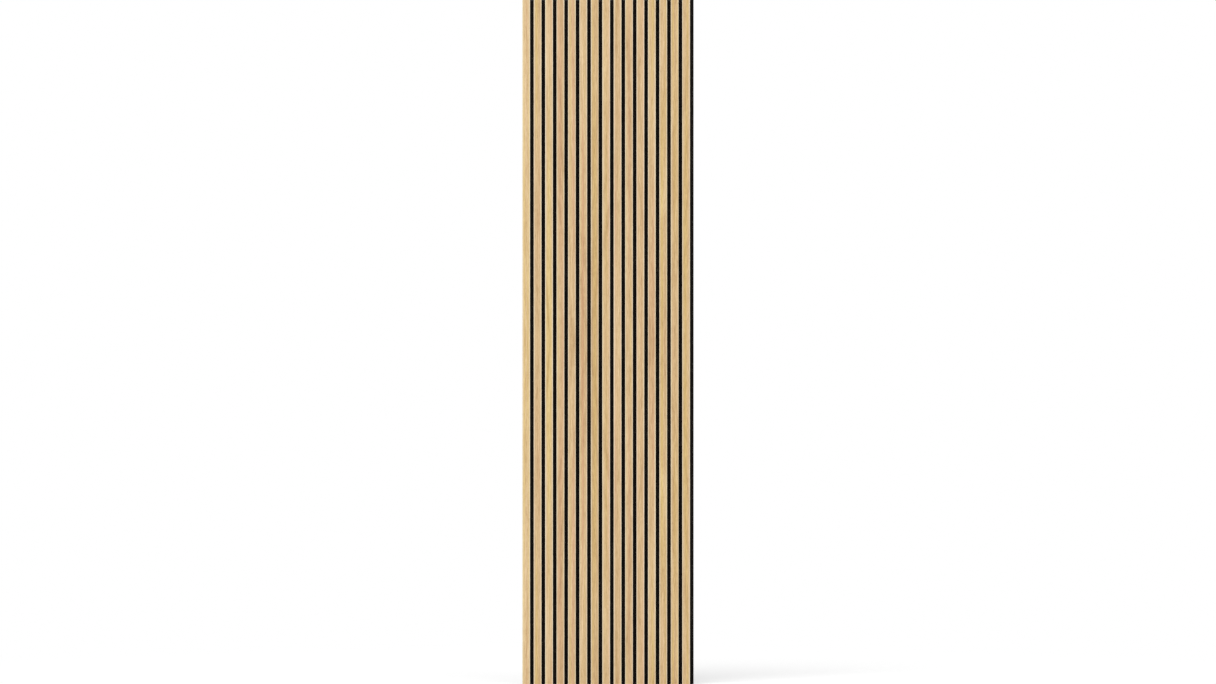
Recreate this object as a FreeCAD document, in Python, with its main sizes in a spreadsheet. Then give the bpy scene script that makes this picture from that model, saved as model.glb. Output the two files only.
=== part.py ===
import FreeCAD, Part

import math
import os

import Sketcher

# Acoustic slat wall panel: upright oak-veneered slats on a board of black acoustic felt.
#
# Each slat is an MDF core with one sheet of veneer wrapped round its face and both sides.
# The slats sit side by side on the felt with an open groove to the right of each one. The last
# groove is a bare strip of felt, where the next panel's first slat carries on the rhythm.
# Wire staples are driven from the back: the crown lies just under the felt's surface, and the
# two legs pass through the felt and stop inside the core.
#
# Frame, in millimetres: +X to the right as seen from the room, +Y into the wall, +Z up. The
# origin is the middle of the face that lies on the wall, so the panel fills negative Y.

SIZES = [
    ("panel_length", 2400, "height of the panel, and length of every slat"),
    ("slat_count", 15, "slats across the panel"),
    ("slat_width", 27, "width of a slat over its veneer"),
    ("slat_gap", 13, "open groove to the right of each slat"),
    ("slat_thickness", 12, "from the felt to the slat's face, over the veneer"),
    ("veneer_thickness", 0.6, "sheet that wraps the core"),
    ("core_arris_radius", 0.6, "rounding of the core's two front arrises, under the veneer"),
    ("felt_thickness", 9, "acoustic felt board"),
    ("staple_rows", 6, "staples down each slat"),
    ("staple_end_distance", 60, "from the panel's end to the nearest row of staples"),
    ("staple_crown_width", 10, "over the two legs"),
    ("staple_wire_width", 1.2, "wire, measured up the panel"),
    ("staple_wire_thickness", 0.9, "wire, measured across its width"),
    ("staple_recess", 0.3, "from the back of the felt to the crown"),
    ("staple_tip_cover", 4, "solid core between the tips and the slat's face"),
    ("staple_clearance", 0.05, "between the wire and the slots that it is driven into"),
]

# Places and sizes that follow from the table, as expressions.
PITCH = "(Sizes.slat_width + Sizes.slat_gap)"
PANEL_WIDTH = f"(Sizes.slat_count * {PITCH})"
PANEL_LEFT = f"(-{PANEL_WIDTH} / 2)"
PANEL_FOOT = "(-Sizes.panel_length / 2)"
FELT_FRONT = "(-Sizes.felt_thickness)"
CORE_SIDE = "(Sizes.slat_width / 2 - Sizes.veneer_thickness)"
CORE_THICKNESS = "(Sizes.slat_thickness - Sizes.veneer_thickness)"
CORE_FRONT = f"({FELT_FRONT} - {CORE_THICKNESS})"
SLAT_FRONT = f"({FELT_FRONT} - Sizes.slat_thickness)"
SLAT_ARRIS_RADIUS = "(Sizes.core_arris_radius + Sizes.veneer_thickness)"
FIRST_SLAT = f"({PANEL_LEFT} + Sizes.slat_width / 2)"
FIRST_ROW = f"({PANEL_FOOT} + Sizes.staple_end_distance)"
SLATS_EXTENT = f"((Sizes.slat_count - 1) * {PITCH})"
ROWS_EXTENT = "(Sizes.panel_length - 2 * Sizes.staple_end_distance)"
CROWN_BACK = "(-Sizes.staple_recess)"
CROWN_FRONT = f"({CROWN_BACK} - Sizes.staple_wire_thickness)"
CROWN_SIDE = "(Sizes.staple_crown_width / 2)"
LEG_INSIDE = f"({CROWN_SIDE} - Sizes.staple_wire_thickness)"
LEG_TIP = f"({SLAT_FRONT} + Sizes.veneer_thickness + Sizes.staple_tip_cover)"
SLOT_HALF_HEIGHT = "(Sizes.staple_wire_width / 2 + Sizes.staple_clearance)"

START, END = 1, 2  # a sketch's numbers for the two ends of a line or an arc
ORIGIN = -1  # a sketch's number for its own origin


def make_sheet(doc):
    """The table of driving sizes: name, value and meaning, one size to a row."""
    sheet = doc.addObject("Spreadsheet::Sheet", "Sizes")
    for row, (name, value, meaning) in enumerate(SIZES, start=1):
        sheet.set(f"A{row}", name)
        sheet.set(f"B{row}", str(value))
        sheet.set(f"C{row}", meaning)
        sheet.setAlias(f"B{row}", name)
    doc.recompute()
    return sheet


def make_body(doc, label):
    """An empty body with its own label."""
    body = doc.addObject("PartDesign::Body", label)
    body.Label = label
    return body


def origin_feature(body, role):
    """One of the body's own origin planes or axes."""
    return next(f for f in body.Origin.OriginFeatures if f.Role == role)


def make_sketch(body, name, plane, height=None):
    """A sketch on an origin plane of the body, moved along the plane's normal by an expression."""
    sketch = body.newObject("Sketcher::SketchObject", name)
    sketch.AttachmentSupport = [(origin_feature(body, plane), "")]
    sketch.MapMode = "FlatFace"
    if height:
        sketch.setExpression("AttachmentOffset.Base.z", height)
    return sketch


def bind(sketch, constraint, name, expression):
    """Adds a named dimension to the sketch and ties it to an expression."""
    sketch.renameConstraint(sketch.addConstraint(constraint), name)
    sketch.setExpression(f"Constraints.{name}", expression)


def add_outline(sketch, name, sides, rounds=None):
    """A closed outline of upright and level sides, drawn anticlockwise.

    Each side is (its name, "X" or "Y", the expression that places it). An "X" side is upright at
    that X and a "Y" side is level at that Y, and the two kinds take turns. rounds gives the
    radius, as an expression, of the corner that ends a side, by the side's name.
    """
    rounds = rounds or {}
    count = len(sides)
    places = [sketch.evalExpression(expression) for _, _, expression in sides]

    def corner(index):
        """Where side number index meets the side after it."""
        here, there = index % count, (index + 1) % count
        upright, level = (here, there) if sides[here][1] == "X" else (there, here)
        return FreeCAD.Vector(places[upright], places[level], 0)

    # Each corner is a point, or an arc between two tangent points.
    ends, starts, arcs = [], [], {}
    for index, (side, _, _) in enumerate(sides):
        point = corner(index)
        ends.append(point)
        starts.append(point)
        if side not in rounds:
            continue
        radius = sketch.evalExpression(rounds[side])
        arriving = (point - corner(index - 1)).normalize()
        leaving = (corner(index + 1) - point).normalize()
        ends[index] = point - arriving * radius
        starts[index] = point + leaving * radius
        turns_left = arriving.cross(leaving).z > 0
        arcs[index] = (point - arriving * radius + leaving * radius, radius, turns_left)

    lines = [
        sketch.addGeometry(Part.LineSegment(starts[index - 1], ends[index])) for index in range(count)
    ]
    for index, (side, axis, expression) in enumerate(sides):
        line = lines[index]
        sketch.addConstraint(Sketcher.Constraint("Vertical" if axis == "X" else "Horizontal", line))
        placing = Sketcher.Constraint(f"Distance{axis}", ORIGIN, START, line, START, places[index])
        bind(sketch, placing, f"{name}_{side}", expression)

    for index, (side, _, _) in enumerate(sides):
        line, following = lines[index], lines[(index + 1) % count]
        if index not in arcs:
            sketch.addConstraint(Sketcher.Constraint("Coincident", line, END, following, START))
            continue
        centre, radius, turns_left = arcs[index]
        first, last = (ends[index], starts[index]) if turns_left else (starts[index], ends[index])
        angles = [math.atan2(p.y - centre.y, p.x - centre.x) for p in (first, last)]
        circle = Part.Circle(centre, FreeCAD.Vector(0, 0, 1), radius)
        arc = sketch.addGeometry(Part.ArcOfCircle(circle, *angles))
        arc_in, arc_out = (START, END) if turns_left else (END, START)
        sketch.addConstraint(Sketcher.Constraint("Tangent", line, END, arc, arc_in))
        sketch.addConstraint(Sketcher.Constraint("Tangent", arc, arc_out, following, START))
        bind(sketch, Sketcher.Constraint("Radius", arc, radius), f"{name}_{side}_round", rounds[side])


def add_rectangle(sketch, name, left, right, low, high):
    """A rectangle whose four sides are placed by expressions."""
    sides = [("low", "Y", low), ("right", "X", right), ("high", "Y", high), ("left", "X", left)]
    add_outline(sketch, name, sides)


def pad_both_ways(body, name, sketch, length):
    """Pads a sketch by half the length to each side of its plane."""
    pad = body.newObject("PartDesign::Pad", name)
    pad.Profile = sketch
    pad.SideType = "Symmetric"
    pad.setExpression("Length", length)
    return pad


def pocket_towards_room(body, name, sketch, depth=None):
    """Cuts a sketch on a wall-parallel plane towards the room, by a depth or right through."""
    pocket = body.newObject("PartDesign::Pocket", name)
    pocket.Profile = sketch
    pocket.Reversed = True
    if depth:
        pocket.setExpression("Length", depth)
    else:
        pocket.Type = "ThroughAll"
    return pocket


def repeat(body, name, originals, runs):
    """Repeats features along one or two origin axes. Each run is (axis, extent, copies)."""
    pattern = body.newObject("PartDesign::LinearPattern", name)
    pattern.Originals = originals
    for suffix, (axis, extent, copies) in zip(("", "2"), runs):
        setattr(pattern, f"Direction{suffix}", (origin_feature(body, axis), [""]))
        setattr(pattern, f"Mode{suffix}", "Extent")
        pattern.setExpression(f"Length{suffix}", extent)
        pattern.setExpression(f"Occurrences{suffix}", copies)
    body.Tip = pattern
    return pattern


def add_leg_slots(sketch, middle_x, middle_z):
    """The two slots that a staple's legs pass through, on a wall-parallel sketch."""
    low = f"{middle_z} - {SLOT_HALF_HEIGHT}"
    high = f"{middle_z} + {SLOT_HALF_HEIGHT}"
    near = f"({LEG_INSIDE} - Sizes.staple_clearance)"
    far = f"({CROWN_SIDE} + Sizes.staple_clearance)"
    add_rectangle(sketch, "left_slot", f"{middle_x} - {far}", f"{middle_x} - {near}", low, high)
    add_rectangle(sketch, "right_slot", f"{middle_x} + {near}", f"{middle_x} + {far}", low, high)


def make_felt(doc):
    """The felt board, with a recess and two slots where each staple is driven in."""
    body = make_body(doc, "felt_backing")
    board = make_sketch(body, "FeltOutline", "XZ_Plane")
    edges = (PANEL_LEFT, f"-{PANEL_LEFT}", PANEL_FOOT, f"-{PANEL_FOOT}")
    add_rectangle(board, "board", *edges)
    pad = body.newObject("PartDesign::Pad", "FeltBoard")
    pad.Profile = board
    pad.setExpression("Length", "Sizes.felt_thickness")

    crown = make_sketch(body, "CrownOutline", "XZ_Plane")
    reach = f"({CROWN_SIDE} + Sizes.staple_clearance)"
    add_rectangle(
        crown,
        "crown",
        f"{FIRST_SLAT} - {reach}",
        f"{FIRST_SLAT} + {reach}",
        f"{FIRST_ROW} - {SLOT_HALF_HEIGHT}",
        f"{FIRST_ROW} + {SLOT_HALF_HEIGHT}",
    )
    recess = pocket_towards_room(body, "CrownRecess", crown, f"-{CROWN_FRONT}")

    legs = make_sketch(body, "LegOutlines", "XZ_Plane")
    add_leg_slots(legs, FIRST_SLAT, FIRST_ROW)
    slots = pocket_towards_room(body, "LegSlots", legs)

    across = ("X_Axis", SLATS_EXTENT, "Sizes.slat_count")
    upwards = ("Z_Axis", ROWS_EXTENT, "Sizes.staple_rows")
    repeat(body, "StaplePattern", [recess, slots], [across, upwards])
    return body


def place_on_slat(body, number):
    """Moves a body, drawn about X = 0, to the middle of a slat."""
    body.setExpression("Placement.Base.x", f"{FIRST_SLAT} + {number - 1} * {PITCH}")


def make_core(doc, number):
    """One slat's MDF core: two eased front arrises, and blind slots for the staples' legs."""
    body = make_body(doc, f"slat_{number:02d}_core")
    section = make_sketch(body, "CoreSection", "XY_Plane")
    sides = [
        ("front", "Y", CORE_FRONT),
        ("right", "X", CORE_SIDE),
        ("back", "Y", FELT_FRONT),
        ("left", "X", f"-{CORE_SIDE}"),
    ]
    arrises = {"front": "Sizes.core_arris_radius", "left": "Sizes.core_arris_radius"}
    add_outline(section, "core", sides, arrises)
    pad_both_ways(body, "Core", section, "Sizes.panel_length")

    legs = make_sketch(body, "LegOutlines", "XZ_Plane", f"-{FELT_FRONT}")
    add_leg_slots(legs, "0", FIRST_ROW)
    slots = pocket_towards_room(body, "LegSlots", legs, f"{FELT_FRONT} - {LEG_TIP}")
    repeat(body, "StaplePattern", [slots], [("Z_Axis", ROWS_EXTENT, "Sizes.staple_rows")])
    place_on_slat(body, number)
    return body


def make_veneer(doc, number):
    """One slat's veneer: a single sheet down one side, round the face and down the other side."""
    body = make_body(doc, f"slat_{number:02d}_veneer")
    section = make_sketch(body, "VeneerSection", "XY_Plane")
    sides = [
        ("face", "Y", SLAT_FRONT),
        ("right", "X", "Sizes.slat_width / 2"),
        ("right_edge", "Y", FELT_FRONT),
        ("inner_right", "X", CORE_SIDE),
        ("inner_face", "Y", CORE_FRONT),
        ("inner_left", "X", f"-{CORE_SIDE}"),
        ("left_edge", "Y", FELT_FRONT),
        ("left", "X", "-Sizes.slat_width / 2"),
    ]
    bends = {
        "face": SLAT_ARRIS_RADIUS,
        "inner_right": "Sizes.core_arris_radius",
        "inner_face": "Sizes.core_arris_radius",
        "left": SLAT_ARRIS_RADIUS,
    }
    add_outline(section, "sheet", sides, bends)
    pad_both_ways(body, "Veneer", section, "Sizes.panel_length")
    place_on_slat(body, number)
    return body


def make_staples(doc):
    """All the wire staples: a crown across the slat and two legs driven towards the room."""
    body = make_body(doc, "staples")
    body.AllowCompound = True
    wire = make_sketch(body, "StapleOutline", "XY_Plane", FIRST_ROW)
    sides = [
        ("left_tip", "Y", LEG_TIP),
        ("left_inner", "X", f"-{LEG_INSIDE}"),
        ("crown_front", "Y", CROWN_FRONT),
        ("right_inner", "X", LEG_INSIDE),
        ("right_tip", "Y", LEG_TIP),
        ("right_outer", "X", CROWN_SIDE),
        ("crown_back", "Y", CROWN_BACK),
        ("left_outer", "X", f"-{CROWN_SIDE}"),
    ]
    add_outline(wire, "staple", sides)
    staple = pad_both_ways(body, "Staple", wire, "Sizes.staple_wire_width")
    across = ("X_Axis", SLATS_EXTENT, "Sizes.slat_count")
    upwards = ("Z_Axis", ROWS_EXTENT, "Sizes.staple_rows")
    repeat(body, "StaplePattern", [staple], [across, upwards])
    place_on_slat(body, 1)
    return body


def check(doc, bodies):
    """Stops if a feature failed, a sketch is loose, a cut took nothing away or a shape isn't sound."""
    for item in doc.Objects:
        if {"Invalid", "Error"} & set(item.State):
            raise RuntimeError(f"{item.Label} didn't compute: {item.State}")
        if item.isDerivedFrom("Sketcher::SketchObject") and not item.FullyConstrained:
            raise RuntimeError(f"{item.Label} isn't fully constrained")
        if item.isDerivedFrom("PartDesign::Pocket") and item.Shape.Volume >= item.BaseFeature.Shape.Volume:
            raise RuntimeError(f"{item.Label} cuts nothing")
    for body in bodies:
        if body.Shape.isNull() or not body.Shape.isValid() or not body.Shape.Solids:
            raise RuntimeError(f"{body.Label} has no sound solid")


def write(bodies):
    """Writes each body to its own file, named after its label."""
    os.makedirs("parts", exist_ok=True)
    for body in bodies:
        body.Shape.exportStep(f"parts/{body.Label}.step")


def main():
    doc = FreeCAD.newDocument("AcousticSlatPanel")
    sheet = make_sheet(doc)
    numbers = range(1, int(sheet.slat_count) + 1)
    bodies = [make_felt(doc)]
    bodies += [make_core(doc, number) for number in numbers]
    bodies += [make_veneer(doc, number) for number in numbers]
    bodies += [make_staples(doc)]
    doc.recompute()
    check(doc, bodies)
    write(bodies)


main()
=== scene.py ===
import math

import bpy
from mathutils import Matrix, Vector, noise


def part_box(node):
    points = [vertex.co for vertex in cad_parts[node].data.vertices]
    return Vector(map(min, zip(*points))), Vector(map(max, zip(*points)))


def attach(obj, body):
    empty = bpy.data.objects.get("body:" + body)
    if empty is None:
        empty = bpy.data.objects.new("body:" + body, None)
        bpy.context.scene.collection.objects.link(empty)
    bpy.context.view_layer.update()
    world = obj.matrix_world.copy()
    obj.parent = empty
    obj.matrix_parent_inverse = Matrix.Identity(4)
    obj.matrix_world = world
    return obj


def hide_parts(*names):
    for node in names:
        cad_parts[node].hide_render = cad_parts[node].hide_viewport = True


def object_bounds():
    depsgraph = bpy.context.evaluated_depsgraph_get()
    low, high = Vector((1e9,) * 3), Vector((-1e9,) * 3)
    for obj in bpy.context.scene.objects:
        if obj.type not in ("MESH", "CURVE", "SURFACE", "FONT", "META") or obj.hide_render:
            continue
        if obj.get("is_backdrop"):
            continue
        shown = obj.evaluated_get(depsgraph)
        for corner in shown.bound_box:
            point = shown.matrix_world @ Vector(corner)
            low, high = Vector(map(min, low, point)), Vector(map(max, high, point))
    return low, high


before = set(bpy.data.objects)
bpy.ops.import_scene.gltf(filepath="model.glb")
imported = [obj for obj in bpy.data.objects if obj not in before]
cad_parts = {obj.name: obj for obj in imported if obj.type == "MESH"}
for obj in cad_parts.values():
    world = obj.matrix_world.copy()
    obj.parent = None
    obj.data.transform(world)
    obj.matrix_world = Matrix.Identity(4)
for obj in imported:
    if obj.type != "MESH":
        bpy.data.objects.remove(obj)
CAD_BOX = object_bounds()

# Acoustic slat wall panel: oak-veneered slats on a board of black felt, stapled from behind.
# Everything is in metres, in the panel's own frame: +X to the right as seen from the room, +Y into
# the wall, +Z up, and the origin in the middle of the felt's back.

MM = 0.001

VENEERS = sorted(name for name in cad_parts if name.endswith("_veneer"))
CORES = sorted(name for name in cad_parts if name.endswith("_core"))
PANEL_LOW, PANEL_HIGH = CAD_BOX
PANEL_HEIGHT = PANEL_HIGH.z - PANEL_LOW.z
FACE_Y = PANEL_LOW.y

# Each slat as (left side, right side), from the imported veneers.
SLATS = [(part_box(name)[0].x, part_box(name)[1].x) for name in VENEERS]
SLAT_WIDTH = SLATS[0][1] - SLATS[0][0]
PITCH = SLATS[1][0] - SLATS[0][0]

# The photograph: its size, the lens that it is taken through here, and how the panel fills it.
PHOTO_WIDTH_PX = 1216
PHOTO_HEIGHT_PX = 684
LENS_MM = 200
SENSOR_MM = 36
PICTURE_SHARE = 0.998  # the picture's height over the panel's: it crops a hair off both ends
NEAR_SHARE, FAR_SHARE = 0.1, 50  # what the camera sees, as shares of its distance

# Light. A share of 1 on a surface renders its colour as it is written.
WORLD_SHARE = 0.4
SUNS = {  # name: (azimuth, elevation, share on a surface that faces it)
    "key": (-25, 45, 0.50),
    "fill": (30, 30, 0.16),
    "back_key": (150, 40, 0.38),
    "back_fill": (-150, 30, 0.16),
}
SUN_SOFTNESS = math.radians(40)
LAMP_DISTANCE = 5  # metres. It doesn't change a sun's light
FLOOR_SHADE = 0.65  # as it lights the panel
FLOOR_SHADE_SEEN = 0.93  # as it shows, where the light that falls on it makes it white
FLOOR_NEAR, FLOOR_FAR = 0.9, 3.0  # metres out, from a floor that shows its shadows to plain white
FLOOR_GLOW = 0.35  # how white the floor shows even close by
FLOOR_REACH = 200  # metres, from the middle to a side

STAPLE_ROWS = 6
STAPLE_HALF_CROWN = 5 * MM
STAPLE_WIRE_WIDTH = 1.2 * MM
STAPLE_WIRE_THICKNESS = 0.9 * MM
STAPLE_WIRE_CORNER = 0.25 * MM
STAPLE_BEND = 1.1 * MM  # radius, at the middle of the wire
STAPLE_BEND_STEPS = 5
STAPLE_CHISEL = 1.6 * MM  # how long a leg's chisel tip is
STAPLE_TIP = 0.3  # a leg's thickness at its end, as a share of the wire's

WHITE = (1, 1, 1, 1)

# A Mix node's sockets for colours: its factor and two colours, and the mixed colour.
MIX_INPUTS = (0, 6, 7)
MIX_OUTPUT = 2


class Graph:
    """The nodes of one material or world, added by calls that give back an output socket."""

    def __init__(self, owner):
        owner.use_nodes = True
        self.owner = owner
        self.nodes = owner.node_tree.nodes
        self.links = owner.node_tree.links
        self.nodes.clear()

    def node(self, kind, inputs=None, **settings):
        """A node with its settings. inputs maps a socket's name or number to its value or link."""
        made = self.nodes.new(kind)
        for name, value in settings.items():
            setattr(made, name, value)
        for key, value in (inputs or {}).items():
            if isinstance(value, bpy.types.NodeSocket):
                self.links.new(value, made.inputs[key])
            else:
                made.inputs[key].default_value = value
        return made

    def place(self):
        """The surface point in the panel's frame, in metres."""
        return self.node("ShaderNodeTexCoord").outputs["Object"]

    def split(self, vector):
        return self.node("ShaderNodeSeparateXYZ", {0: vector}).outputs[:3]

    def join(self, x, y, z):
        return self.node("ShaderNodeCombineXYZ", {0: x, 1: y, 2: z}).outputs[0]

    def math(self, operation, *values):
        return self.node("ShaderNodeMath", dict(enumerate(values)), operation=operation).outputs[0]

    def scaled(self, vector, x, y, z):
        """The vector times (x, y, z)."""
        inputs = {0: vector, 1: (x, y, z)}
        return self.node("ShaderNodeVectorMath", inputs, operation="MULTIPLY").outputs[0]

    def turned(self, vector, degrees):
        """The vector turned about Y, in the plane of the panel."""
        inputs = {"Vector": vector, "Rotation": (0, math.radians(degrees), 0)}
        return self.node("ShaderNodeMapping", inputs).outputs[0]

    def layer(self, vector, layer):
        """A noise, from its (features a metre along each axis, detail, roughness)."""
        features, detail, roughness = layer
        place = self.scaled(vector, *features)
        inputs = {"Vector": place, "Scale": 1.0, "Detail": detail, "Roughness": roughness}
        return self.node("ShaderNodeTexNoise", inputs).outputs[0]

    def wave(self, vector, layer):
        """A layer less a half, so that it swings to both sides of zero."""
        return self.math("SUBTRACT", self.layer(vector, layer), 0.5)

    def bell(self, value):
        """1 where the value is zero, and a smooth fall to 0 on both sides."""
        square = self.math("POWER", value, 2.0)
        return self.math("EXPONENT", self.math("MULTIPLY", square, -1.0))

    def rounded(self, value, radius):
        """The size of a value, rounded over near zero."""
        square = self.total((self.math("POWER", value, 2.0), 1.0), radius ** 2)
        return self.math("SQRT", square)

    def rise(self, value, low, high):
        """0 below low, 1 above high, and a smooth rise between. It falls if high is below low."""
        inputs = {"Value": value, "From Min": low, "From Max": high}
        return self.node("ShaderNodeMapRange", inputs, interpolation_type="SMOOTHSTEP").outputs[0]

    def total(self, *terms):
        """The sum of (value, weight) pairs and plain numbers."""
        total = 0.0
        for term in terms:
            if isinstance(term, tuple):
                total = self.math("MULTIPLY_ADD", term[0], term[1], total)
            else:
                total = self.math("ADD", total, term)
        return total

    def ramp(self, value, stops):
        """A colour from a value, through stops of (position, sRGB colour out of 255)."""
        made = self.node("ShaderNodeValToRGB", {0: value})
        elements = made.color_ramp.elements
        while len(elements) < len(stops):
            elements.new(0.5)
        for element, (position, colour) in zip(elements, stops):
            element.position = position
            element.color = (*linear(colour), 1)
        return made.outputs[0]

    def mix(self, factor, first, second, blend="MIX"):
        """A mix of two colours."""
        inputs = dict(zip(MIX_INPUTS, (factor, first, second)))
        made = self.node("ShaderNodeMix", inputs, data_type="RGBA", blend_type=blend)
        return made.outputs[MIX_OUTPUT]

    def bump(self, height, strength, distance):
        inputs = {"Height": height, "Strength": strength, "Distance": distance}
        return self.node("ShaderNodeBump", inputs).outputs[0]

    def seen(self):
        """1 for the rays that show a backdrop: the camera's, off metal and through glass."""
        path = self.node("ShaderNodeLightPath").outputs
        mirrored = self.math("MAXIMUM", path["Is Glossy Ray"], path["Is Transmission Ray"])
        return self.math("MAXIMUM", path["Is Camera Ray"], mirrored)

    def finish(self, shader, kind="ShaderNodeOutputMaterial"):
        self.node(kind, {"Surface": shader})
        return self.owner


def linear(colour):
    """An sRGB colour out of 255 as linear numbers."""
    shares = [value / 255 for value in colour]
    return [s / 12.92 if s <= 0.04045 else ((s + 0.055) / 1.055) ** 2.4 for s in shares]


# Oak veneer. One leaf of flat-sawn oak runs across all the slats. It is matched end to end at
# mid-height, so that its figure mirrors there: its lines rise steeply to both sides of two valleys,
# and between these they meet in arches, which makes a long lens with its mirror image.
LENS_X = 61 * MM  # the lens's middle
LENS_HALF = 129 * MM  # from there to each valley
CORNER = 7 * MM  # how round a line is where it turns
LEAN = 0.17  # how far a line leans sideways for its rise, near mid-height
LEAN_LOSS = 0.048  # and how much less it leans a metre higher
MIRROR_SOFTNESS = 30 * MM  # how round the figure is where it crosses mid-height
RING_SPACING = 6.5 * MM
RING_REACH = 0.45  # how far off its line a ring shows, as a share of the spacing
OUTLINES = [  # (line of the figure, half width, how much darker)
    (-2 * MM, 6 * MM, 0.08),
    (-30 * MM, 6 * MM, 0.06),
    (18 * MM, 5 * MM, 0.05),
    (38 * MM, 6 * MM, 0.08),
]
OUTLINE_STRENGTH = (0.7, 0.4)  # where the rings are gone, and how much more where they are full

# Patches as (x, height, half width, half height, how much lighter), and strokes from one
# (x, height) to another, as (start, end, half width, how much lighter). They mirror below
# mid-height.
OAK_PATCHES = [
    (-106 * MM, 0, 18 * MM, 80 * MM, -0.11),
    (-100 * MM, 0, 34 * MM, 0.28, -0.06),
    (157 * MM, 0, 16 * MM, 90 * MM, -0.08),
    (145 * MM, 0, 38 * MM, 0.30, -0.06),
    (30 * MM, 0, 15 * MM, 0.30, 0.10),
    (-45 * MM, 0.95, 40 * MM, 0.25, 0.05),
    (160 * MM, 0.90, 36 * MM, 0.35, 0.05),
]
OAK_STROKES = [
    ((-206 * MM, 0), (-215 * MM, 0.23), 3.2 * MM, -0.18),
    ((-76 * MM, 0.02), (-79 * MM, 0.14), 4 * MM, -0.04),
    ((-90 * MM, 0.19), (-130 * MM, 0.38), 6 * MM, -0.06),
    ((-30 * MM, 0.26), (6 * MM, 0.46), 6 * MM, -0.06),
    ((75 * MM, 0.56), (30 * MM, 0.47), 6 * MM, -0.06),
    ((-153 * MM, 0.56), (-176 * MM, 0.80), 6 * MM, -0.10),
    ((86 * MM, 0.62), (64 * MM, 1.08), 6 * MM, -0.07),
    ((31 * MM, 0.98), (34 * MM, 1.20), 5 * MM, -0.07),
    ((-209 * MM, 0.80), (-211 * MM, 1.20), 2.6 * MM, 0.14),
    ((186 * MM, 0.45), (224 * MM, 0.76), 3 * MM, 0.12),
    ((226 * MM, 0.80), (229 * MM, 1.16), 3 * MM, 0.14),
    ((-83 * MM, 0.70), (-93 * MM, 1.10), 2.6 * MM, 0.12),
]

STROKE_FADE = 0.2  # how far from its ends a stroke fades, as a share of its rise

# Slats that stand out from the rest, as (number from the left, how much lighter).
SLAT_SHADES = [(2, -0.09), (3, 0.04), (7, -0.08), (14, -0.05)]

# The noises in the wood, as (features a metre along each axis, detail, roughness), with Z along
# the grain. The other materials' layers are written the same way.
OAK_LAYERS = {
    "broad warp": ((12, 12, 2.5), 2, 0.5),
    "small warp": ((90, 90, 9), 3, 0.5),
    "fading": ((30, 30, 4), 2, 0.5),  # of the growth rings
    "bands": ((80, 80, 2.2), 2, 0.5),  # along the figure
    "columns": ((140, 140, 0.4), 2, 0.6),
    "streaks": ((160, 160, 3.2), 3, 0.6),
    "dashes": ((330, 330, 16), 3, 0.62),
    "threads": ((900, 900, 34), 3, 0.6),
    "fibres": ((2600, 2600, 60), 2, 0.5),
    "pores": ((2400, 2400, 130), 1, 0.5),
    "rays": ((900, 900, 300), 1, 0.5),
    "hue": ((110, 110, 0.8), 2, 0.5),
    "broad hue": ((27, 27, 0.5), 1, 0.5),
}
BROAD_WARP = 50 * MM  # how far each warp carries the figure sideways
SMALL_WARP = 9 * MM
GRAIN_WARP = 5 * MM  # and the small warp the straight grain
ALONG_SHIFT = 0.08  # keeps lines that lie equally far from a valley from being alike
FADED, UNFADED = 0.35, 0.62  # the fading noise where rings are gone, and where they are full
PORE_RANGE = (0.62, 0.70)  # the noise where a pore starts, and where it is full
PORE_STRENGTH = (0.35, 0.65)  # away from a ring, and how much more on one
RAY_RANGE = (0.66, 0.78)
OAK_SHADE = 0.53  # on average, from 0 to 1 through the tones

# How the leaf changes from left to right, as (where it starts, where it is full, how much).
PALER_LEFT = (-165 * MM, -225 * MM, 0.09)
YELLOWER_LEFT = (-150 * MM, -230 * MM, -0.06)
PINKER_MIDDLE = (40 * MM, 120 * MM, 0.03)
YELLOWER_RIGHT = (205 * MM, 225 * MM, -0.05)
PINK_RANGE = (0.52, 0.66)  # the hue noise where pink starts, and where it is full
YELLOW_RANGE = (0.48, 0.34)

OAK_TONES = [(0.0, (164, 121, 74)), (0.5, (214, 181, 133)), (1.0, (246, 220, 177))]
OAK_PINK = (255, 242, 247)  # multiplied over the tones
OAK_YELLOW = (254, 255, 228)
# Painted highlight along each slat's sides: paler wood where the edges would catch light.
OAK_ARRIS_HIGHLIGHT_TONES = [(0.0, (198, 164, 120)), (0.5, (241, 226, 195)), (1.0, (252, 243, 223))]
ARRIS_HIGHLIGHT_RANGE = (5.0 * MM, 0.6 * MM)  # how far from the slat's side the painted highlight starts, and is full
ARRIS_HIGHLIGHT_STRENGTH = 0.85
ARRIS_HIGHLIGHT_RAGGED = 9 * MM  # how far the grain shifts where it starts


def oak_figure(graph, x, height, warp):
    """How far a point lies from the nearest of the figure's main lines, sideways, in metres."""
    off_lens = graph.rounded(graph.math("SUBTRACT", x, LENS_X), CORNER)
    off_valley = graph.rounded(graph.math("SUBTRACT", off_lens, LENS_HALF), CORNER)
    lean = graph.math("MULTIPLY", height, graph.total(LEAN, (height, -LEAN_LOSS)))
    return graph.total((off_valley, 1.0), (lean, -1.0), warp)


def oak_patch(graph, x, height, patch):
    """1 in the middle of a soft patch, and 0 away from it."""
    bells = []
    for value, middle, half in zip((x, height), patch[:2], patch[2:4]):
        off_middle = graph.math("SUBTRACT", value, middle)
        bells.append(graph.bell(graph.math("DIVIDE", off_middle, half)))
    return graph.math("MULTIPLY", *bells)


def oak_stroke(graph, x, height, start, end, half_width):
    """1 on a soft line from start to end, which fades at both, and 0 away from it."""
    (x0, z0), (x1, z1) = start, end
    slope = (x1 - x0) / (z1 - z0)
    line = graph.total(x0 - slope * z0, (height, slope))
    near = graph.bell(graph.math("DIVIDE", graph.math("SUBTRACT", x, line), half_width))
    fade = (z1 - z0) * STROKE_FADE
    risen = graph.rise(height, z0 - fade, z0 + fade)
    ended = graph.rise(height, z1 + fade, z1 - fade)
    return graph.math("MULTIPLY", near, graph.math("MULTIPLY", risen, ended))


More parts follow.
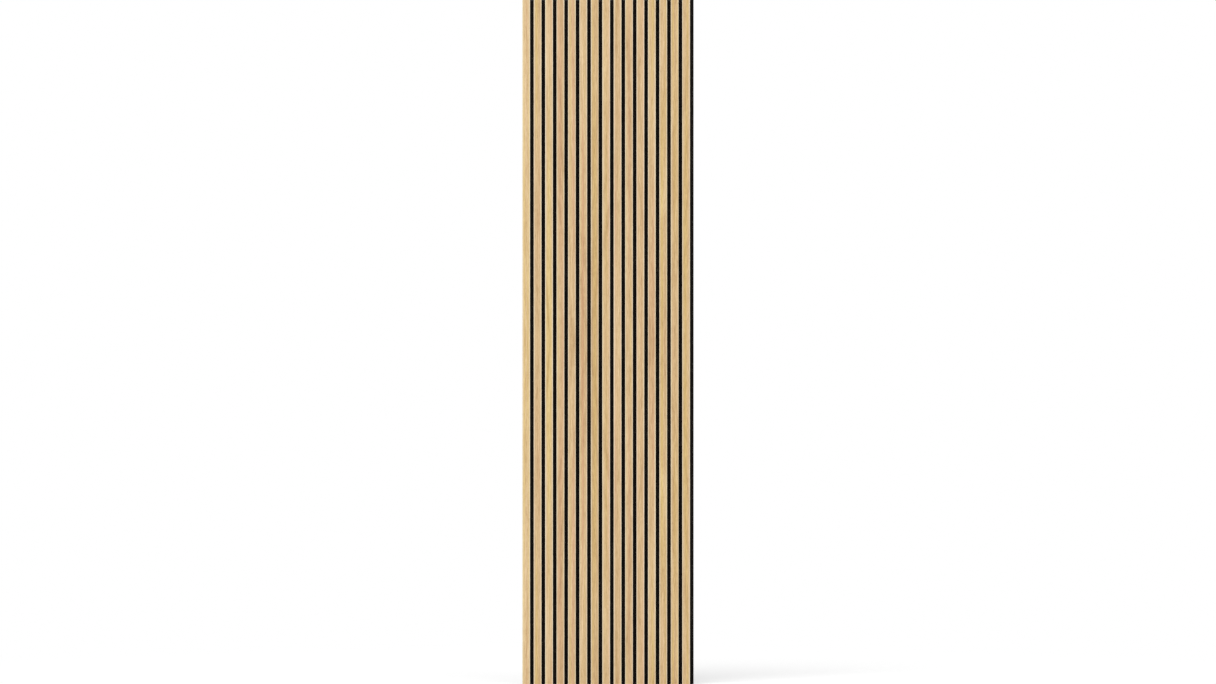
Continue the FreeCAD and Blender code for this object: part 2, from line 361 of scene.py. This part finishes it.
def oak_side(graph, x, side):
    """A change from left to right as a total's term: (its share at a point, how much)."""
    start, full, amount = side
    return graph.rise(x, start, full), amount


def oak_material():
    """Flat-sawn oak under a matt lacquer."""
    graph = Graph(bpy.data.materials.new("oak_veneer_lacquered"))
    place = graph.place()
    x, y, z = graph.split(place)
    height = graph.rounded(z, MIRROR_SOFTNESS)
    mirrored = graph.join(x, y, height)

    broad_warp = graph.wave(mirrored, OAK_LAYERS["broad warp"])
    small_warp = graph.wave(mirrored, OAK_LAYERS["small warp"])
    warp = (graph.total((broad_warp, BROAD_WARP), (small_warp, SMALL_WARP)), 1.0)
    figure = oak_figure(graph, x, height, warp)
    along = graph.join(figure, graph.total((x, ALONG_SHIFT), (y, 1.0)), height)
    upright = graph.join(graph.total((x, 1.0), (small_warp, GRAIN_WARP)), y, height)

    # Growth rings, with the darker outlines among them, broken up along their length.
    off_ring = graph.math("PINGPONG", graph.math("DIVIDE", figure, RING_SPACING), 0.5)
    rings = graph.rise(off_ring, RING_REACH, 0.0)
    fading = graph.layer(mirrored, OAK_LAYERS["fading"])
    ring_strength = graph.rise(fading, FADED, UNFADED)
    outlines = 0.0
    for line, width, depth in OUTLINES:
        near = graph.bell(graph.math("DIVIDE", graph.math("SUBTRACT", figure, line), width))
        outlines = graph.total((near, depth), (outlines, 1.0))
    least, more = OUTLINE_STRENGTH
    outlines = graph.math("MULTIPLY", outlines, graph.total(least, (ring_strength, more)))

    # The grain, from wide to fine. The pores show most on the rings.
    bands = graph.wave(along, OAK_LAYERS["bands"])
    columns = graph.wave(upright, OAK_LAYERS["columns"])
    streaks = graph.wave(upright, OAK_LAYERS["streaks"])
    dashes = graph.wave(upright, OAK_LAYERS["dashes"])
    threads = graph.wave(upright, OAK_LAYERS["threads"])
    fibres = graph.wave(place, OAK_LAYERS["fibres"])
    pores = graph.rise(graph.layer(place, OAK_LAYERS["pores"]), *PORE_RANGE)
    least, more = PORE_STRENGTH
    pores = graph.math("MULTIPLY", pores, graph.total(least, (rings, more)))
    rays = graph.rise(graph.layer(place, OAK_LAYERS["rays"]), *RAY_RANGE)

    shade = graph.total(
        OAK_SHADE,
        (outlines, -1.0),
        (graph.math("MULTIPLY", rings, ring_strength), -0.04),
        (bands, 0.32),
        (columns, 0.36),
        (streaks, 0.42),
        (dashes, 0.62),
        (threads, 0.65),
        (fibres, 0.62),
        (pores, -0.36),
        (rays, 0.10),
        oak_side(graph, x, PALER_LEFT),
    )
    for number, lighter in SLAT_SHADES:
        left, right = SLATS[number - 1]
        within = graph.math("COMPARE", x, (left + right) / 2, PITCH / 2)
        shade = graph.total((shade, 1.0), (within, lighter))
    for patch in OAK_PATCHES:
        shade = graph.total((shade, 1.0), (oak_patch(graph, x, height, patch), patch[-1]))
    for start, end, half_width, lighter in OAK_STROKES:
        stroke = oak_stroke(graph, x, height, start, end, half_width)
        shade = graph.total((shade, 1.0), (stroke, lighter))
    colour = graph.ramp(shade, OAK_TONES)

    # Pinker and yellower streaks.
    hue = graph.total(
        0.5,
        (graph.wave(upright, OAK_LAYERS["hue"]), 0.8),
        (graph.wave(upright, OAK_LAYERS["broad hue"]), 0.4),
        oak_side(graph, x, YELLOWER_LEFT),
        oak_side(graph, x, PINKER_MIDDLE),
        oak_side(graph, x, YELLOWER_RIGHT),
    )
    pink = graph.rise(hue, *PINK_RANGE)
    yellow = graph.rise(hue, *YELLOW_RANGE)
    colour = graph.mix(pink, colour, (*linear(OAK_PINK), 1), "MULTIPLY")
    colour = graph.mix(yellow, colour, (*linear(OAK_YELLOW), 1), "MULTIPLY")

    # Painted highlight: the wood is paler towards each slat's sides, and the band ends raggedly
    # along the grain.
    from_left = graph.math("WRAP", graph.math("SUBTRACT", x, SLATS[0][0]), PITCH, 0.0)
    to_right = graph.math("SUBTRACT", SLAT_WIDTH, from_left)
    inset = graph.math("MAXIMUM", graph.math("MINIMUM", from_left, to_right), 0.0)
    depth = graph.math("SUBTRACT", y, FACE_Y)
    ragged = graph.total((dashes, 0.6), (threads, 0.4))
    reach = graph.total((inset, 1.0), (depth, 1.0), (ragged, ARRIS_HIGHLIGHT_RAGGED))
    arris_highlight = graph.math("MULTIPLY", graph.rise(reach, *ARRIS_HIGHLIGHT_RANGE), ARRIS_HIGHLIGHT_STRENGTH)
    colour = graph.mix(arris_highlight, colour, graph.ramp(shade, OAK_ARRIS_HIGHLIGHT_TONES))

    relief = graph.total((fibres, 0.5), (threads, 0.6), (pores, -1.0))
    roughness = graph.total(0.52, (threads, 0.12), (pores, 0.15))
    inputs = {
        "Base Color": colour,
        "Roughness": roughness,
        "Normal": graph.bump(relief, 0.35, 0.25 * MM),
        "Specular IOR Level": 0.35,
    }
    return graph.finish(graph.node("ShaderNodeBsdfPrincipled", inputs).outputs[0])


MDF_LAYERS = {
    "clumps": ((700, 700, 700), 4, 0.65),
    "fibres": ((2600, 5200, 2600), 3, 0.6),
    "saw": ((250, 4000, 250), 1, 0.5),
}
MDF_TONES = [(0.0, (96, 72, 48)), (0.45, (158, 127, 92)), (1.0, (206, 180, 142))]
MDF_DENSE = 0.45  # how far off the middle it grows denser, as a share of half its thickness


def mdf_material():
    """Raw MDF, sawn across: fine brown fibre, denser and darker towards its two faces."""
    graph = Graph(bpy.data.materials.new("mdf_sawn"))
    place = graph.place()
    depth = graph.split(place)[1]
    low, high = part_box(CORES[0])
    middle = (low.y + high.y) / 2
    half = (high.y - low.y) / 2
    off_middle = graph.math("ABSOLUTE", graph.math("SUBTRACT", depth, middle))
    dense = graph.rise(off_middle, half * MDF_DENSE, half)
    clumps = graph.layer(place, MDF_LAYERS["clumps"])
    fibres = graph.layer(place, MDF_LAYERS["fibres"])
    saw = graph.layer(place, MDF_LAYERS["saw"])
    shade = graph.total(0.15, (clumps, 0.5), (fibres, 0.45), (saw, 0.15), (dense, -0.22))
    inputs = {
        "Base Color": graph.ramp(shade, MDF_TONES),
        "Roughness": graph.total(0.78, (fibres, 0.2)),
        "Normal": graph.bump(graph.total((fibres, 1.0), (clumps, 1.0)), 0.5, 0.3 * MM),
        "Specular IOR Level": 0.2,
    }
    return graph.finish(graph.node("ShaderNodeBsdfPrincipled", inputs).outputs[0])


# Felt fibres lie in layers, each at its own angle: (degrees, features a metre across, along).
FELT_FIBRES = [(8, 430, 42), (52, 520, 55), (97, 400, 46), (141, 560, 60)]
FELT_CURLS = 110  # a metre
FELT_WANDER = 5 * MM  # how far a fibre curls
FIBRE_RANGE = (0.026, 0.004)  # how far off a noise's middle a fibre starts, and is full
FIBRE_PATCHES = 90  # a metre along a fibre, pale or dark
FIBRE_PALENESS = (0.3, 0.8)  # the noise where a patch is dark, and where it is palest
FELT_LAYERS = {
    "nap": ((1500, 1500, 1100), 3, 0.5),
    "lumps": ((240, 240, 170), 2, 0.5),
    "clouds": ((26, 26, 9), 4, 0.5),
}
FELT_TONES = [(0.0, (4, 3, 3)), (0.5, (16, 13, 11)), (1.0, (84, 76, 69))]


def felt_material():
    """Needled felt: fine black fibres that curl every way over a lumpy nap, a few of them paler."""
    graph = Graph(bpy.data.materials.new("felt_black"))
    place = graph.place()
    inputs = {"Vector": place, "Scale": FELT_CURLS, "Detail": 1}
    curl = graph.node("ShaderNodeTexNoise", inputs).outputs[1]
    shift = graph.scaled(curl, FELT_WANDER, FELT_WANDER, FELT_WANDER)
    curled = graph.node("ShaderNodeVectorMath", {0: place, 1: shift}, operation="ADD").outputs[0]
    fibres = 0.0
    for degrees, across, along in FELT_FIBRES:
        lying = graph.wave(graph.turned(curled, degrees), ((across, across, along), 1, 0.35))
        line = graph.rise(graph.math("ABSOLUTE", lying), *FIBRE_RANGE)
        pale = graph.layer(place, ((across, FIBRE_PATCHES, FIBRE_PATCHES), 1, 0.5))
        fibre = graph.math("MULTIPLY", line, graph.rise(pale, *FIBRE_PALENESS))
        fibres = graph.math("MAXIMUM", fibre, fibres)
    nap = graph.wave(place, FELT_LAYERS["nap"])
    lumps = graph.wave(place, FELT_LAYERS["lumps"])
    clouds = graph.wave(place, FELT_LAYERS["clouds"])
    shade = graph.total(0.31, (nap, 0.5), (lumps, 0.45), (clouds, 0.6), (fibres, 0.5))
    relief = graph.total((fibres, 0.5), (nap, 1.0), (lumps, 1.6))
    inputs = {
        "Base Color": graph.ramp(shade, FELT_TONES),
        "Roughness": graph.total(0.88, (fibres, 0.1)),
        "Normal": graph.bump(relief, 0.8, 0.8 * MM),
        "Specular IOR Level": 0.03,
        "Sheen Weight": 0.03,
        "Sheen Roughness": 0.7,
    }
    return graph.finish(graph.node("ShaderNodeBsdfPrincipled", inputs).outputs[0])


STEEL_LAYERS = {
    "spangle": ((900, 900, 900), 2, 0.5),
    "scuffs": ((300, 4000, 4000), 2, 0.5),
}
STEEL_TONES = [(0.2, (128, 131, 136)), (0.8, (205, 207, 210))]


def staple_material():
    """Galvanised wire, scuffed by the driver."""
    graph = Graph(bpy.data.materials.new("staple_galvanised"))
    place = graph.place()
    spangle = graph.layer(place, STEEL_LAYERS["spangle"])
    scuffs = graph.layer(place, STEEL_LAYERS["scuffs"])
    shade = graph.total((spangle, 0.6), (scuffs, 0.5), -0.05)
    inputs = {
        "Base Color": graph.ramp(shade, STEEL_TONES),
        "Roughness": graph.total(0.22, (scuffs, 0.3)),
        "Normal": graph.bump(scuffs, 0.2, 0.1 * MM),
        "Metallic": 1.0,
    }
    return graph.finish(graph.node("ShaderNodeBsdfPrincipled", inputs).outputs[0])


def add_mesh(name, points, faces, material, smooth=True):
    """A mesh object from points and faces, with one material."""
    mesh = bpy.data.meshes.new(name)
    mesh.from_pydata(points, [], faces)
    mesh.validate()
    mesh.update()
    mesh.polygons.foreach_set("use_smooth", [smooth] * len(mesh.polygons))
    mesh.materials.append(material)
    made = bpy.data.objects.new(name, mesh)
    bpy.context.scene.collection.objects.link(made)
    return made


def box_shell(xs, ys, zs):
    """The closed surface of a box, as points on three lists of stations and its faces."""
    index = {}
    points = []
    faces = []

    def point(i, j, k):
        if (i, j, k) not in index:
            index[i, j, k] = len(points)
            points.append(Vector((xs[i], ys[j], zs[k])))
        return index[i, j, k]

    counts = [len(stations) - 1 for stations in (xs, ys, zs)]
    for axis in range(3):
        first, second = (axis + 1) % 3, (axis + 2) % 3
        for end in (0, counts[axis]):
            for a in range(counts[first]):
                for b in range(counts[second]):
                    corners = []
                    for step_a, step_b in ((0, 0), (1, 0), (1, 1), (0, 1)):
                        at = [0, 0, 0]
                        at[axis], at[first], at[second] = end, a + step_a, b + step_b
                        corners.append(point(*at))
                    faces.append(corners if end else corners[::-1])
    return points, faces


def fall(distance, full, none):
    """1 up to the distance full, 0 beyond none, and a smooth fall between."""
    share = min(max((distance - full) / (none - full), 0.0), 1.0)
    return 1 - share * share * (3 - 2 * share)


# The felt board's own relief.
FELT_LUMP = 0.16 * MM  # how deep the needled surface undulates
FELT_CROWN = 0.22 * MM  # how far it stands up in a groove, between the slats that press on it
FELT_SQUASH = 0.1 * MM  # how far the slats press it back
FELT_RISE = 4 * MM  # how far from a slat the crown reaches its height
FELT_EDGE = 0.7 * MM  # how far the cut edges are rounded over
FELT_UNEVEN = [(90, 0.6), (240, 0.4)]  # lumps a metre, and their share of the depth
DIMPLE_DEPTH = 1.3 * MM  # where a staple's crown pulls the felt in
DIMPLE_X = (5.6 * MM, 9.5 * MM)  # full depth up to the first, none beyond the second
DIMPLE_Z = (1.2 * MM, 6.0 * MM)

# The stations of the felt's mesh.
FELT_ROW = 12 * MM  # at most this far apart up the board
FELT_COLUMN = 4 * MM  # and across a groove
DIMPLE_XS = (0, 3 * MM, *DIMPLE_X)  # to both sides of a staple's middle
DIMPLE_ZS = (0, *DIMPLE_Z, 2.4 * MM)
DIMPLE_MARGIN = 2 * MM  # how far beyond a dimple the board's own rows start
LEAST_STEP = 0.5 * MM  # stations closer than this become one


def slat_middles():
    return [(left + right) / 2 for left, right in SLATS]


def staple_heights():
    """The heights of the rows of staples."""
    low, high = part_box("staples")
    first = low.z + STAPLE_WIRE_WIDTH / 2
    last = high.z - STAPLE_WIRE_WIDTH / 2
    return [first + (last - first) * row / (STAPLE_ROWS - 1) for row in range(STAPLE_ROWS)]


def even(start, end, spacing):
    """Stations from start to end, both included, at most the spacing apart."""
    count = math.ceil((end - start) / spacing - 1e-6)
    return [start + (end - start) * step / count for step in range(count + 1)]


def thinned(stations, least):
    """Sorted stations, with the first of each close pair left out, and both ends kept."""
    kept = []
    for station in sorted(stations):
        if kept and station - kept[-1] < least and len(kept) > 1:
            kept.pop()
        kept.append(station)
    return kept


def felt_board(material):
    """The felt board: a closed shell with an uneven nap, dimples at staples and soft edges."""
    low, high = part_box("felt_backing")
    middles = slat_middles()
    rows = staple_heights()
    xs = []
    for (left, right), middle in zip(SLATS, middles):
        xs += [left, right]
        xs += [middle + side * step for step in DIMPLE_XS for side in (-1, 1)]
        xs += even(right, left + PITCH, FELT_COLUMN)
    dimple_reach = DIMPLE_Z[1] + DIMPLE_MARGIN
    zs = even(low.z, high.z, FELT_ROW)
    zs = [z for z in zs if min(abs(z - row) for row in rows) > dimple_reach]
    zs += [row + side * step for row in rows for step in DIMPLE_ZS for side in (-1, 1)]
    half = (high.y - low.y) / 2
    middle_y = low.y + half
    ys = [low.y, low.y + FELT_EDGE, middle_y, high.y - FELT_EDGE, high.y]
    points, faces = box_shell(thinned(xs, LEAST_STEP), ys, thinned(zs, LEAST_STEP))

    for point in points:
        lump = sum(noise.noise(point * lumps) * share for lumps, share in FELT_UNEVEN)
        inward = FELT_LUMP * (0.5 + 0.5 * lump)
        x, y, z = point
        if y == high.y:
            near_x = min(abs(x - middle) for middle in middles)
            near_z = min(abs(z - row) for row in rows)
            point.y -= inward + DIMPLE_DEPTH * fall(near_x, *DIMPLE_X) * fall(near_z, *DIMPLE_Z)
        elif y == low.y:
            gap = min(max(abs(x - middle) - SLAT_WIDTH / 2, 0.0) for middle in middles)
            open_share = 1 - fall(gap, 0.0, FELT_RISE)
            point.y += FELT_SQUASH - open_share * (FELT_CROWN - inward + FELT_SQUASH)
        corner = FELT_EDGE * (abs(y - middle_y) / half) ** 4
        for axis in (0, 2):
            if point[axis] in (low[axis], high[axis]):
                point[axis] -= math.copysign(corner + inward, point[axis])
    return add_mesh("felt_board", points, faces, material)


def staple_path():
    """One staple's centreline from tip to tip, as (x and y, outward angle, share of thickness)."""
    low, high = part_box("staples")
    leg_x = STAPLE_HALF_CROWN - STAPLE_WIRE_THICKNESS / 2
    crown_y = high.y - STAPLE_WIRE_THICKNESS / 2
    tip = low.y
    full = tip + STAPLE_CHISEL
    path = [((-leg_x, tip), math.pi, STAPLE_TIP), ((-leg_x, full), math.pi, 1.0)]
    centre_y = crown_y - STAPLE_BEND
    for side, start in ((-1, math.pi), (1, math.pi / 2)):
        centre_x = side * (leg_x - STAPLE_BEND)
        for step in range(STAPLE_BEND_STEPS + 1):
            angle = start - math.pi / 2 * step / STAPLE_BEND_STEPS
            x = centre_x + STAPLE_BEND * math.cos(angle)
            y = centre_y + STAPLE_BEND * math.sin(angle)
            path.append(((x, y), angle, 1.0))
    path += [((leg_x, full), 0.0, 1.0), ((leg_x, tip), 0.0, STAPLE_TIP)]
    return path


def staple_wire(material):
    """All the staples, bent from flattened wire with rounded corners and chisel tips."""
    half_t = STAPLE_WIRE_THICKNESS / 2
    half_w = STAPLE_WIRE_WIDTH / 2
    flat_t = half_t - STAPLE_WIRE_CORNER
    flat_w = half_w - STAPLE_WIRE_CORNER
    section = []
    for out, up in ((1, 1), (-1, 1), (-1, -1), (1, -1)):
        ends = [(out * half_t, up * flat_w), (out * flat_t, up * half_w)]
        section += ends if out * up > 0 else ends[::-1]
    size = len(section)
    path = staple_path()
    points = []
    faces = []
    for middle in slat_middles():
        for height in staple_heights():
            start = len(points)
            for (x, y), angle, share in path:
                for out, up in section:
                    across = middle + x + out * share * math.cos(angle)
                    deep = y + out * share * math.sin(angle)
                    points.append((across, deep, height + up))
            for ring in range(len(path) - 1):
                first = start + ring * size
                for side in range(size):
                    here = first + side
                    following = first + (side + 1) % size
                    faces.append((here, following, following + size, here + size))
            faces.append(tuple(range(start + size - 1, start - 1, -1)))
            last = start + (len(path) - 1) * size
            faces.append(tuple(range(last, last + size)))
    return add_mesh("staple_wire", points, faces, material)


def lamp_direction(azimuth, elevation):
    """From the panel towards a lamp. Azimuth 0 is in front of the panel and 90 is at its right."""
    turn = math.radians(azimuth)
    lift = math.radians(elevation)
    level = math.cos(lift)
    return Vector((math.sin(turn) * level, -math.cos(turn) * level, math.sin(lift)))


def add_suns():
    """Soft suns. One with a share of 1 gives a surface that faces it its own colour."""
    for name, (azimuth, elevation, share) in SUNS.items():
        sun = bpy.data.lights.new(name, "SUN")
        sun.energy = share * math.pi
        sun.angle = SUN_SOFTNESS
        lamp = bpy.data.objects.new(name, sun)
        towards = lamp_direction(azimuth, elevation)
        lamp.location = towards * LAMP_DISTANCE
        lamp.rotation_mode = "QUATERNION"
        lamp.rotation_quaternion = (-towards).to_track_quat("-Z", "Y")
        bpy.context.scene.collection.objects.link(lamp)


def add_world():
    """White where it is seen, and a soft even light on everything."""
    world = bpy.data.worlds.new("studio")
    bpy.context.scene.world = world
    graph = Graph(world)
    soft = {"Color": WHITE, "Strength": WORLD_SHARE}
    plain = {"Color": WHITE, "Strength": 1.0}
    light = graph.node("ShaderNodeBackground", soft).outputs[0]
    white = graph.node("ShaderNodeBackground", plain).outputs[0]
    both = graph.node("ShaderNodeMixShader", {0: graph.seen(), 1: light, 2: white}).outputs[0]
    graph.finish(both, "ShaderNodeOutputWorld")


def add_floor():
    """A pale floor that keeps the panel's shadow and turns white away from it."""
    graph = Graph(bpy.data.materials.new("studio_floor"))
    x, y, _ = graph.split(graph.place())
    squares = [graph.math("POWER", value, 2.0) for value in (x, y)]
    distance = graph.math("SQRT", graph.math("ADD", *squares))
    away = graph.rise(distance, FLOOR_NEAR, FLOOR_FAR)
    shade = graph.total(FLOOR_SHADE, (graph.seen(), FLOOR_SHADE_SEEN - FLOOR_SHADE))
    pale = graph.node("ShaderNodeBsdfDiffuse", {"Color": shade}).outputs[0]
    plain = {"Color": WHITE, "Strength": 1.0}
    white = graph.node("ShaderNodeEmission", plain).outputs[0]
    glow = graph.total(FLOOR_GLOW, (away, 1 - FLOOR_GLOW))
    factor = graph.math("MULTIPLY", glow, graph.seen())
    both = graph.node("ShaderNodeMixShader", {0: factor, 1: pale, 2: white}).outputs[0]
    material = graph.finish(both)
    turns = ((-1, -1), (1, -1), (1, 1), (-1, 1))
    corners = [(FLOOR_REACH * side, FLOOR_REACH * end, PANEL_LOW.z) for side, end in turns]
    floor = add_mesh("studio_floor", corners, [(0, 1, 2, 3)], material, smooth=False)
    floor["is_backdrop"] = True


def add_camera():
    """Square on to the slats' faces, from far away, with the panel filling the picture's height."""
    data = bpy.data.cameras.new("camera")
    data.lens = LENS_MM
    data.sensor_width = SENSOR_MM
    picture_width = PANEL_HEIGHT * PICTURE_SHARE * PHOTO_WIDTH_PX / PHOTO_HEIGHT_PX
    distance = picture_width * LENS_MM / SENSOR_MM
    data.clip_start = distance * NEAR_SHARE
    data.clip_end = distance * FAR_SHARE
    camera = bpy.data.objects.new("camera", data)
    camera.location = (0, FACE_Y - distance, (PANEL_LOW.z + PANEL_HIGH.z) / 2)
    camera.rotation_euler = (math.pi / 2, 0, 0)
    bpy.context.scene.collection.objects.link(camera)
    bpy.context.scene.camera = camera


def dress(names, material):
    """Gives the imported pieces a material."""
    for name in names:
        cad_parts[name].data.materials[0] = material


def main():
    bpy.context.scene.view_settings.view_transform = "Standard"
    add_camera()
    add_world()
    add_suns()
    add_floor()

    dress(VENEERS, oak_material())
    dress(CORES, mdf_material())

    felt = felt_board(felt_material())
    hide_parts("felt_backing")
    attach(felt, "root")

    staples = staple_wire(staple_material())
    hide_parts("staples")
    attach(staples, "root")

    boxes = {"cad": CAD_BOX, "visual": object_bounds()}
    boxes = {name: [list(corner) for corner in box] for name, box in boxes.items()}


main()
